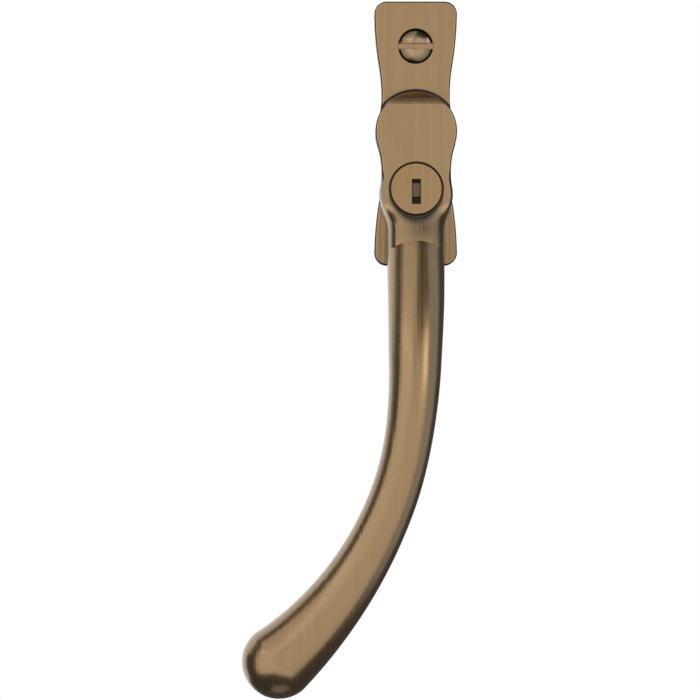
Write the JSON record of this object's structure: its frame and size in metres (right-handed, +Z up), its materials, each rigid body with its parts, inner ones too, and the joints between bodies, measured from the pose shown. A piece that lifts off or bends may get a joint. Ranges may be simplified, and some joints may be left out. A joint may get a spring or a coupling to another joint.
{
  "type": "key-locking window handle",
  "caption": "Curved pear-drop window handle with a key lock in its neck, a waisted backplate and a square drive spindle.",
  "frame": {"origin": "on the pivot axis, in the plane of the backplate's rear face", "axes": "+Z up along the backplate, away from the grip; +X to the right seen from the room; +Y into the window sash"},
  "size_m": [0.0525, 0.0683, 0.1701],
  "materials": {
    "plate_brass": "antiqued, brushed lengthwise",
    "lever_brass": "antiqued, brushed lengthwise",
    "barrel_brass": "antiqued, brushed lengthwise",
    "ward_brass": "dull",
    "screw_brass": "antiqued",
    "steel": "zinc plated",
    "spring_steel": "oiled",
    "nylon": "natural"
  },
  "bodies": {
    "backplate": {"backplate": "plate_brass", "pivot_bush": "nylon", "stop_pin": "steel", "upper_fixing_screw": "screw_brass", "lower_fixing_screw": "screw_brass"},
    "lever": {"lever": "lever_brass", "drive_spindle": "steel", "spindle_pin": "steel", "thrust_washer": "steel", "wave_washer": "spring_steel", "boss_circlip": "spring_steel", "left_detent_spring": "spring_steel", "right_detent_spring": "spring_steel", "left_detent_ball": "steel", "right_detent_ball": "steel", "lock_cover": "steel", "left_cover_screw": "steel", "right_cover_screw": "steel"},
    "lock_barrel": {"lock_barrel": "barrel_brass", "keyway_ward": "ward_brass"},
    "lock_bolt": {"lock_bolt": "steel", "bolt_drive_pin": "steel"}
  },
  "joints": [
    {"name": "lever_turn", "type": "hinge", "parent": "backplate", "child": "lever", "pos_m": [0, 0, 0], "axis": [0, 1, 0], "range_deg": [0, 90]},
    {"name": "key_turn", "type": "hinge", "parent": "lever", "child": "lock_barrel", "pos_m": [0, 0, -0.0141], "axis": [0, 1, 0], "range_deg": [0, 90]},
    {"name": "bolt_slide", "type": "slide", "parent": "lever", "child": "lock_bolt", "axis": [0, 1, 0], "range_m": [0, 0.0028]}
  ],
  "couplings": [
    {"joint": "bolt_slide", "follows": "key_turn", "m_per_rad": 0.0017825}
  ]
}
